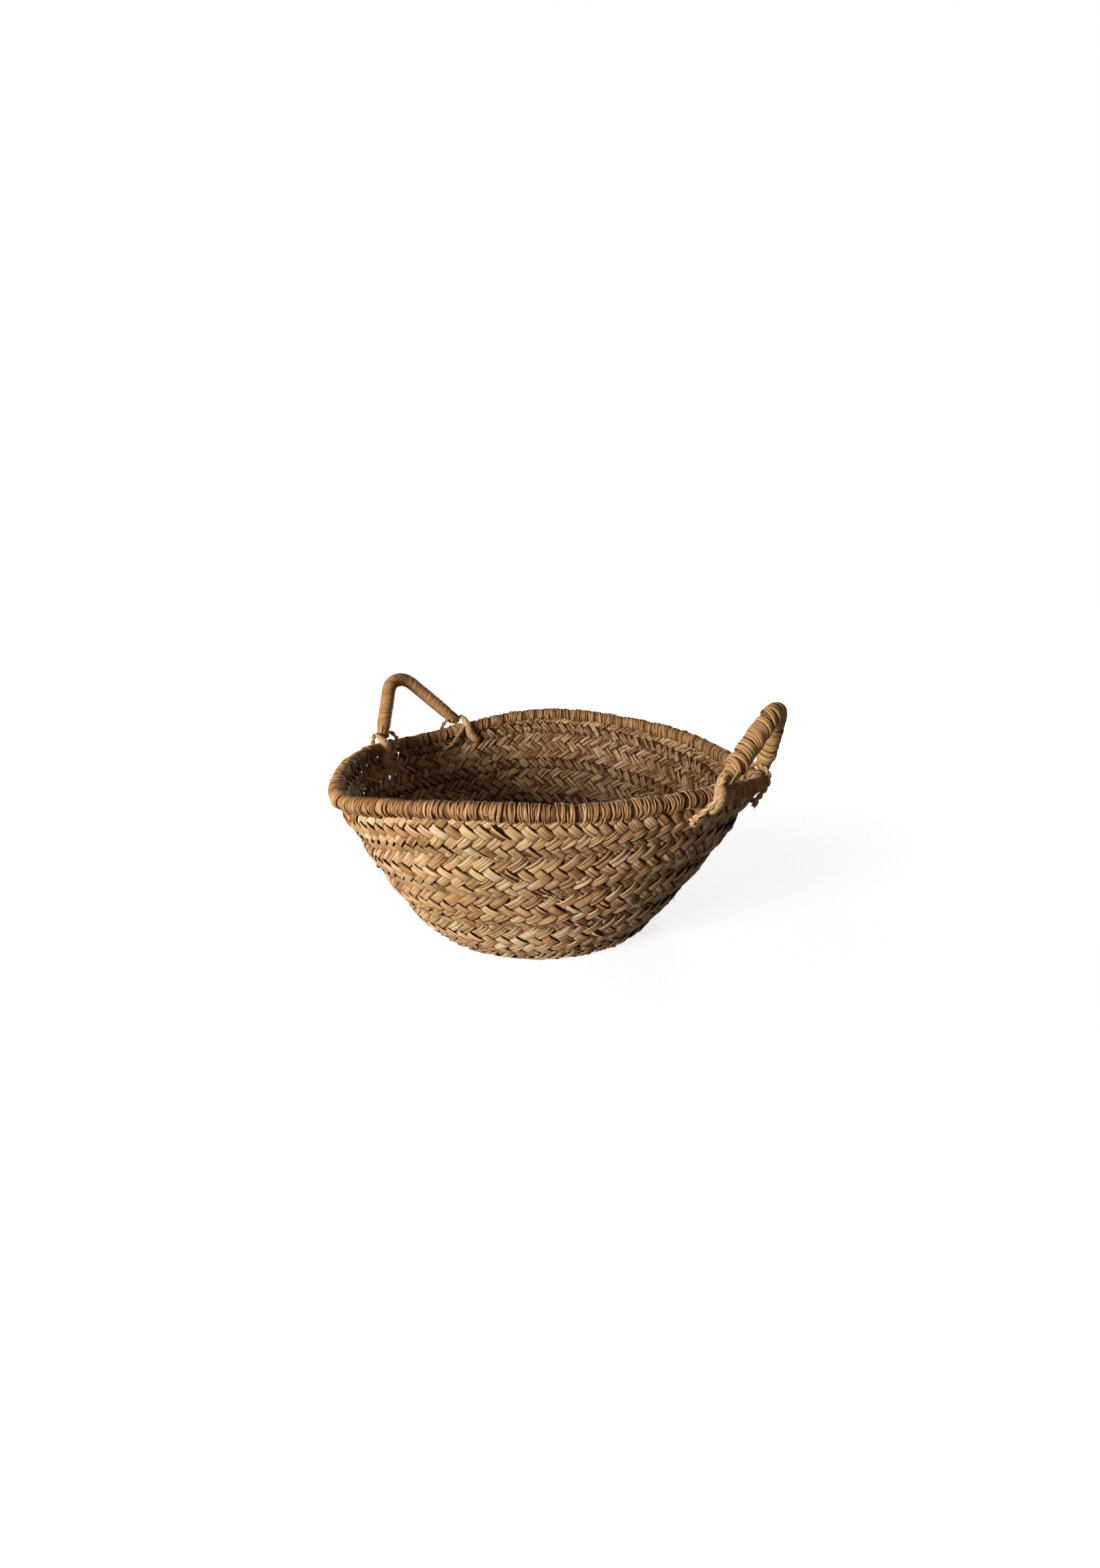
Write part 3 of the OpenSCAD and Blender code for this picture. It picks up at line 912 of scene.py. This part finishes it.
def winding_radius(radius, place, length, lift):
    """Radius of a winding at places along the rope: round ends, the foot, then its full size."""
    below = np.minimum(place, length - place) - FOOT_BELOW
    full = np.clip((below - 3.0) / 12.0, 0.0, 1.0)
    full = full * full * (3 - 2 * full)
    cap = np.sqrt(np.maximum(FOOT_R ** 2 - np.minimum(below, 0.0) ** 2, 9.0))
    return cap + (radius - FOOT_R) * full + lift * (0.3 + 0.7 * full)


class Helix:
    """The close helix of a winding, from one foot of a handle to the other."""

    def __init__(self, h, pitch):
        self.handle = Handle(h)
        self.path, self.at = evenly(self.handle.arch(FOOT_BELOW), 0.5)
        self.n1 = np.cross(UPWARD, unit(np.gradient(self.path, axis=0)))
        self.length = self.at[-1]
        self.start = FOOT_BELOW - WINDING_START
        turns = (self.length - 2 * self.start) / pitch + 1
        steps = int(turns * TURN_POINTS)
        self.angle = -h["hand"] * np.linspace(0, turns * 2 * PI, steps)
        self.turn = np.linspace(0, turns, steps)
        self.knots = int(turns * WANDER_KNOTS) + 5

    def wander(self, draw, *limits):
        """A slow change along the helix, drawn at a few knots in each turn."""
        return np.interp(self.turn, np.arange(self.knots) / WANDER_KNOTS, draw(*limits, self.knots))

    def line(self, place, r):
        """A line at radius r over places along the rope, with its tangents and outward directions."""
        radial = around(unit(sampled(place, self.at, self.n1)), UPWARD, self.angle)
        line = self.handle.place(sampled(place, self.at, self.path) + r[:, None] * radial)
        return line, *facing(line, radial @ self.handle.axes)


def wound(blades, rng, h, radius, style, shade):
    """Ribbons of straws wound round the rope in one close helix."""
    pitch, wobble, straws = style["pitch"], style["wobble"], style["straws"]
    helix = Helix(h, pitch)
    start, length = helix.start, helix.length
    ribbon_w = pitch / style["ribbons"]
    for ribbon in range(style["ribbons"]):
        ribbon_shift = helix.wander(rng.normal, 0, wobble)
        ribbon_lift = helix.wander(rng.normal, 0, wobble * 0.2)
        ribbon_tint = helix.wander(rng.normal, 0, 0.06)
        narrow = 1.0 - helix.wander(rng.uniform, 0, style["slit"])
        share = 0.12 + rng.dirichlet(np.full(straws, 3.0)) * (1 - 0.12 * straws)
        edges = (sums(share) - 0.5) * ribbon_w
        for low, high in zip(edges[:-1], edges[1:]):
            across = (low + high) / 2
            crown = style["crown"] * (1 - (across / (ribbon_w / 2)) ** 2)
            own_tint = helix.wander(rng.normal, 0, 0.07)
            own_lift = helix.wander(rng.normal, 0, 0.12)
            own_shift = helix.wander(rng.normal, 0, wobble * 0.15)
            place = start + (helix.turn - 0.5) * pitch + ribbon * ribbon_w + across * narrow
            place = np.clip(place + ribbon_shift + own_shift, start, length - start)
            r = winding_radius(radius, place, length, ribbon_lift + own_lift + crown)
            line, along, up = helix.line(place, r)
            half_w = (high - low) / 2 * style["overlap"] * narrow
            tint = np.clip(style["tint"] + ribbon_tint + own_tint, 0, 1)
            blades.add_one(line, np.cross(along, up), up, half_w, 0.45, tint, shade)


def rope_strands(blades, rng, handle):
    """The rope inside: strands laid side by side with a slow twist, short of the feet."""
    path, at = evenly(handle.arch(), 1.5)
    keep = (at > CORE_SHORT) & (at < at[-1] - CORE_SHORT)
    path, at = path[keep], at[keep]
    n1 = np.cross(UPWARD, unit(np.gradient(path, axis=0)))
    for k in range(CORE_STRANDS):
        radial = around(n1, UPWARD, 2 * PI * (k / CORE_STRANDS + (at - at[0]) / CORE_TWIST))
        line = handle.place(path + CORE_R * radial)
        up = unit(radial @ handle.axes)
        side = np.cross(unit(np.gradient(line, axis=0)), up)
        # shade 0.7: painted shade on the rope inside its winding
        blades.add_one(line, side, up, 2.0, 1.1, rng.uniform(0.3, 0.8), 0.7)


def eye_loop(rng, k, foot, way):
    """Points of one straw of a foot's eye: down the leg, round under the cord and up again."""
    off_middle = k - (EYE_LOOPS - 1) / 2
    across = off_middle * EYE_STEP
    size = EYE_R - 0.10 * abs(off_middle) + rng.uniform(-0.2, 0.2)
    sideways = np.array([way[1], -way[0], 0.0])
    top = way * 15.0 + sideways * across * 0.45
    neck = way * 7.0 + sideways * across * 0.85
    ring = [top + [0, 0, 4.6], neck + [0, 0, 4.9]]
    for u in np.linspace(0, PI, 13):
        ring.append([across + 0.4 * math.sin(3 * u + k), -size * math.sin(u), size * math.cos(u)])
    ring += [neck + [0, 0, -4.9], top + [0, 0, -4.6]]
    return spline(np.array(ring) + foot + rng.normal(0, 0.12, (len(ring), 3)), 3)


def foot_eye(blades, rng, handle, side):
    """The eye in one foot: straws side by side round the cord."""
    x = handle.axes[0]
    way = np.append(handle.leg(side)[0], 0.0)
    foot = np.array([side * handle.half, 0.0, 0.0])
    centre = handle.place(foot + way * 4.0)
    for k in range(EYE_LOOPS):
        line = handle.place(eye_loop(rng, k, foot, way))
        along, up = facing(line, line - centre)
        up = unit(up - x * 0.5 * np.sum(up * x, -1, keepdims=True))
        across = unit(np.cross(along, up))
        tint = rng.uniform(0.35, 0.9)
        shade = rng.uniform(0.85, 1.0)
        blades.add_one(line, across, np.cross(across, along), 1.0, 0.6, tint, shade)


# pitch along the rope, ribbons in a turn and straws in a ribbon, the most that a ribbon narrows, how
# far it wanders, how much its middle stands out, how far its straws overlap, and how light it is
# the under winding is dark in tint: painted shade in the slits of the winding over it
UNDER_WINDING = dict(pitch=6.5, ribbons=1, straws=3, slit=0.0, wobble=0.3, crown=0.0, overlap=1.1, tint=0.25)
WINDINGS = {
    "front": dict(pitch=14.0, ribbons=2, straws=2, slit=0.42, wobble=1.2, crown=0.6, overlap=1.12, tint=0.60),
    "back": dict(pitch=12.0, ribbons=2, straws=2, slit=0.05, wobble=0.2, crown=0.1, overlap=1.25, tint=0.32),
}


def handle_pieces(rope_material, wrap_material):
    """Each handle's rope with an eye in each foot, and its winding in two layers."""
    for k, (name, h) in enumerate(HANDLES.items()):
        rng = np.random.default_rng(SEEDS["handles"] + k)
        body = "handle_" + name
        handle = Handle(h)
        core = Blades()
        rope_strands(core, rng, handle)
        for side in (1, -1):
            foot_eye(core, rng, handle, side)
        core.piece("rope_strands_" + name, rope_material, body, "handle_rope", "handle_core_" + name)
        wrap = Blades()
        # shade 0.6 on the under winding is painted shade
        wound(wrap, rng, h, h["rope"] - 1.7, UNDER_WINDING, 0.6)
        wound(wrap, rng, h, h["rope"] - 0.7, WINDINGS[name], 1.0)
        wrap.piece("rope_winding_" + name, wrap_material, body, "handle_wrap", "handle_wrap_" + name)


# ================ lashings
def along_rim(distance):
    """The angle round the rim that a distance along it takes."""
    return np.degrees(distance / R_RIM)


def lashing_path(h, side):
    """A closed loop of cord: through the foot's eye, then round the rim by the loop's stops."""
    a0 = h["angle"] + side * h["spread"]
    foot = rim_point(a0, 0.0, AXIS_RISE)
    u = Handle(h).axes[0] * h["hand"]
    loop = [rim_point(a0 + h["hand"] * p[0] * along_rim(1.0), p[1], p[2]) for p in LOOP_ROUTE]
    inside_eye = [foot + u * 5, foot, foot - u * 5, foot - u * PIN_HALF]
    return spline(inside_eye + loop + [foot + u * PIN_HALF, foot + u * 5], 5), a0


def knot(blades, rng, centre, x, y, z):
    """A small overhand knot."""
    w = np.linspace(0, 2 * PI, 90)
    local = np.stack([np.sin(w) + 2 * np.sin(2 * w), np.cos(w) - 2 * np.cos(2 * w), -1.3 * np.sin(3 * w)], -1)
    path = centre + KNOT_SIZE / 3 * (local @ np.array([x, y, z]))
    twisted(blades, rng, path, z, 0.62, 0.85, 7.0, 0.6)


def knot_with_tails(blades, rng, a):
    """The knot outside the rim at angle a, and its short loose ends."""
    centre = rim_point(a, KNOT_OUT, -LASHING_DROP)
    out = unit(rim_point(a, 1.0, 0.0) - rim_point(a, 0.0, 0.0))
    up = unit(rim_point(a, 0.0, 1.0) - rim_point(a, 0.0, 0.0))
    across = np.cross(up, out)
    knot(blades, rng, centre, across, up, out)
    for _ in range(KNOT_TAILS):
        way = out * rng.uniform(0.1, 0.5) - up * rng.uniform(0.2, 1.0) + across * rng.normal(0, 0.8)
        length = rng.uniform(3, 7)
        stray(blades, rng, centre, unit(way), -out * 0.6, length, rng.uniform(0.6, 1.0), 0.40)


def foot_wraps(blades, rng, h, a0, side):
    """Straws wound close round the rim under a foot, and the rope's tail laid over the rim beside it."""
    for along in np.arange(-COLLAR_HALF, COLLAR_HALF + 0.1, COLLAR_STEP):
        radius = COLLAR_R + rng.uniform(-0.5, 0.1)
        lean = rng.normal(0.5, 0.8)
        drop = COLLAR_DROP + rng.normal(0, 0.9)
        tint = rng.uniform(0.3, 0.8)
        shade = rng.uniform(0.8, 1.0)
        overcast_strand(blades, rng, a0, along, lean, radius, drop, 0.95, tint, shade, 0.25)
    stops = TAB_ROUTE if h["tab"] > 0 else TAB_ROUTE + TAB_TAIL
    route = [rim_point(a0 + side * along_rim(p[0]), h["tab"] * p[1], p[2]) for p in stops]
    rope_tail(blades, rng, spline(route, 6))


def rope_tail(blades, rng, path):
    """Straws laid along a tail of rope with a slow twist. It swells from a thin start to a round end."""
    path, at = evenly(path, 0.3)
    x, y = path_frames(path)
    share = at / at[-1]
    swell = np.clip(share / 0.6, 0.0, 1.0)
    close = np.clip((1 - share) / 0.25, 0.0, 1.0)
    size = TAB_R * (0.30 + 0.70 * np.sin(swell * PI / 2)) * np.sqrt(np.maximum(close * (2 - close), 0.02))
    half_w = PI * np.maximum(size, 1.0) / TAB_STRAWS * 1.3
    for k in range(TAB_STRAWS):
        radial = around(x, y, 2 * PI * (at / TAB_TWIST + k / TAB_STRAWS))
        line = path + (size + 0.18 * slow_noise(rng, at.shape, 6.0))[:, None] * radial
        along, up = facing(line, radial)
        tint = np.clip(0.62 + rng.normal(0, 0.1), 0, 1)
        shade = rng.uniform(0.75, 1.0)
        blades.add_one(line, np.cross(along, up), up, half_w, 0.45, tint, shade)


def lashing_pieces(material):
    """One piece for each foot: its twisted cord, its knot and the straws round the rim."""
    for name, h in HANDLES.items():
        for side, letter in ((-1, "a"), (1, "b")):
            rng = np.random.default_rng(SEEDS["lashings"] + 2 * (name == "front") + side)
            path, a0 = lashing_path(h, side)
            blades = Blades()
            twisted(blades, rng, path, UPWARD, 1.2, 1.35, 15.0, h["cord"])
            foot_wraps(blades, rng, h, a0, side)
            knot_with_tails(blades, rng, a0 - h["hand"] * KNOT_ALONG * along_rim(1.0))
            foot = f"{name}_{letter}"
            blades.piece("twisted_cord_" + foot, material, "basket", "lashing", "lashing_" + foot)


# ================ loose ends
def stray(blades, rng, start, direction, sag, length, tint, half_w=0.26):
    """One loose end: it starts one way, bends another and thins towards its tip."""
    points = 16
    t = np.linspace(0, 1, points)[:, None]
    bend = unit(rng.normal(0, 1, 3) + sag)
    path = start + direction * length * t + bend * length * 0.45 * t ** 2
    path = path + 0.02 * length * slow_noise(rng, (3, points), 1.5).T * t
    x, y = path_frames(path, np.array([0.3, 0.5, 0.8]))
    width = half_w * (1 - 0.6 * t[:, 0])
    blades.add_one(path, x, y, width, width * 0.7, tint, 1.0)


def stray_fibres(material):
    """Loose fibre ends on the rim and on the wall's outside."""
    rng = np.random.default_rng(SEEDS["fibres"])
    blades = Blades()
    for _ in range(RIM_FIBRES):
        a = rng.uniform(0, 360)
        start = rim_point(a, rng.uniform(-4, 6.5), rng.uniform(-6, 6.5))
        out = unit(np.array([cos_d(a), sin_d(a), rng.uniform(-0.2, 0.9)]))
        sideways = np.array([-sin_d(a), cos_d(a), 0.0]) * rng.uniform(-2.5, 2.5)
        length = rng.uniform(*RIM_FIBRE_LENGTHS)
        tint = rng.uniform(0.5, 1.0)
        stray(blades, rng, start, unit(0.6 * out + sideways), [0, 0, -0.5], length, tint)
    for _ in range(WALL_FIBRES):
        a = rng.uniform(0, 360)
        s = rng.uniform(150, 275)
        n = wall_normal(a, s)
        sideways = np.array([-sin_d(a), cos_d(a), 0.0]) * rng.uniform(-1, 1)
        sideways = sideways + np.array([0, 0, rng.uniform(-1, 1)])
        length = rng.uniform(*WALL_FIBRE_LENGTHS)
        tint = rng.uniform(0.5, 1.0)
        stray(blades, rng, wall_point(a, s, 0.6), unit(n * 0.15 + sideways), -n * 0.8, length, tint)
    blades.piece("loose_fibres", material, "basket", "plait")


# ================ camera, light and floor
# Places are in mm. The lights' sizes and the floor's reach and gap are in metres.
CAMERA_AT = (406.3, -509.2, 312.6)
LOOK_AT = (10.1, 7.6, 133.5)
LENS_MM = 15.30
LIGHT_TARGET = (0.0, 0.0, 80.0)
LIGHTS = {
    "key": dict(place=(-200.0, -1550.0, 340.0), size=0.55, power=40.0, colour=(1.0, 0.98, 0.95)),
    "back": dict(place=(-700.0, 1450.0, 360.0), size=0.6, power=15.0, colour=(1.0, 0.97, 0.93)),
}
ROOM_COLOUR = (1.0, 0.94, 0.88, 1.0)
ROOM_STRENGTH = 0.14
WHITE = (1.0, 1.0, 1.0, 1.0)
FLOOR_COLOUR = (0.42, 0.42, 0.42, 1.0)
FLOOR_REACH = 14.0
FLOOR_GAP = 0.0002
FLOOR_GLOW = 0.80


def aim(obj, place, target):
    """Puts an object at a place in mm, looking at a target in mm."""
    here = Vector([v * MM for v in place])
    there = Vector([v * MM for v in target])
    obj.location = here
    obj.rotation_euler = (there - here).to_track_quat("-Z", "Y").to_euler()


def make_camera():
    data = bpy.data.cameras.new("camera")
    data.lens = LENS_MM
    data.sensor_fit = "AUTO"
    data.sensor_width = 36.0
    data.clip_start = 0.01
    data.clip_end = 100.0
    camera = place_in_scene("camera", data)
    aim(camera, CAMERA_AT, LOOK_AT)
    bpy.context.scene.camera = camera


def make_lights():
    for name, light in LIGHTS.items():
        data = bpy.data.lights.new(name, "AREA")
        data.shape = "DISK"
        data.size = light["size"]
        data.energy = light["power"]
        data.color = light["colour"]
        aim(place_in_scene(name, data), light["place"], LIGHT_TARGET)


def make_world():
    """White where the camera sees it, and a dim warm room to everything else."""
    world = bpy.data.worlds.new("studio")
    bpy.context.scene.world = world
    world.use_nodes = True
    nodes = Nodes(world.node_tree)
    room = nodes.add("ShaderNodeBackground", {"Color": ROOM_COLOUR, "Strength": ROOM_STRENGTH})
    white = nodes.add("ShaderNodeBackground", {"Color": WHITE, "Strength": 1.0})
    seen = nodes.add("ShaderNodeLightPath").outputs["Is Camera Ray"]
    inputs = {"Fac": seen, 1: room.outputs["Background"], 2: white.outputs["Background"]}
    pick = nodes.add("ShaderNodeMixShader", inputs)
    nodes.add("ShaderNodeOutputWorld", {"Surface": pick.outputs["Shader"]})
    bpy.context.scene.view_settings.view_transform = "Standard"
    bpy.context.scene.view_settings.look = "None"


def make_floor():
    """A pale matt floor with a glow that makes it white away from the basket."""
    mesh = bpy.data.meshes.new("floor")
    low = cad_box[0][2] - FLOOR_GAP
    corners = [(x * FLOOR_REACH, y * FLOOR_REACH, low) for x, y in ((-1, -1), (1, -1), (1, 1), (-1, 1))]
    mesh.from_pydata(corners, [], [(0, 1, 2, 3)])
    floor = place_in_scene("floor", mesh)
    m = Material("pale_floor")
    m.look(Base_Color=FLOOR_COLOUR, Roughness=0.9, Specular_IOR_Level=0.0, Emission_Color=WHITE)
    place = m.add("ShaderNodeTexCoord").outputs["Object"]
    away = m.add("ShaderNodeVectorMath", {0: place}, operation="LENGTH").outputs["Value"]
    glow = m.plus(m.above(away, 0.3, 0.2, True), FLOOR_GLOW)
    m.look(Emission_Strength=m.maths("MINIMUM", glow, 1.0))
    mesh.materials.append(m.material)
    floor.visible_diffuse = False
    floor.visible_glossy = False


# ================ put it together
# colour stops, roughness, bump, how far colours spread round the tint, and how strong the streaks are
GRASSES = {
    "plaited_grass": (PLAIT_STOPS, 0.56, 0.55, 1.0, 0.42),
    "binding_grass": (BINDING_STOPS, 0.60, 0.5, 0.5, 0.42),
    "binding_grass_under": (UNDER_SHADE_STOPS, 0.8, 0.5, 0.6, 0.5),
    "winding_grass": (ROPE_STOPS, 0.58, 0.6, 0.5, 0.42),
    "rope_grass": (ROPE_STOPS, 0.7, 0.5, 0.6, 0.5),
    "cord_grass": (CORD_STOPS, 0.62, 0.5, 0.7, 0.42),
    "sewing_grass": (DARK_STOPS, 0.8, 0.4, 0.6, 0.5),
}


def build():
    make_camera()
    make_lights()
    make_world()
    make_floor()
    grass = {name: grass_material(name, *looks) for name, looks in GRASSES.items()}
    core_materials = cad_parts["rim_core"].data.materials
    core_materials.clear()
    core_materials.append(node_grass_material("core_grass", DARK_STOPS))
    plait_pieces(grass["plaited_grass"])
    base_centre(grass["plaited_grass"])
    seam_cord(grass["sewing_grass"])
    binding_pieces(grass["binding_grass"], grass["binding_grass_under"])
    handle_pieces(grass["rope_grass"], grass["winding_grass"])
    lashing_pieces(grass["cord_grass"])
    stray_fibres(grass["cord_grass"])


build()
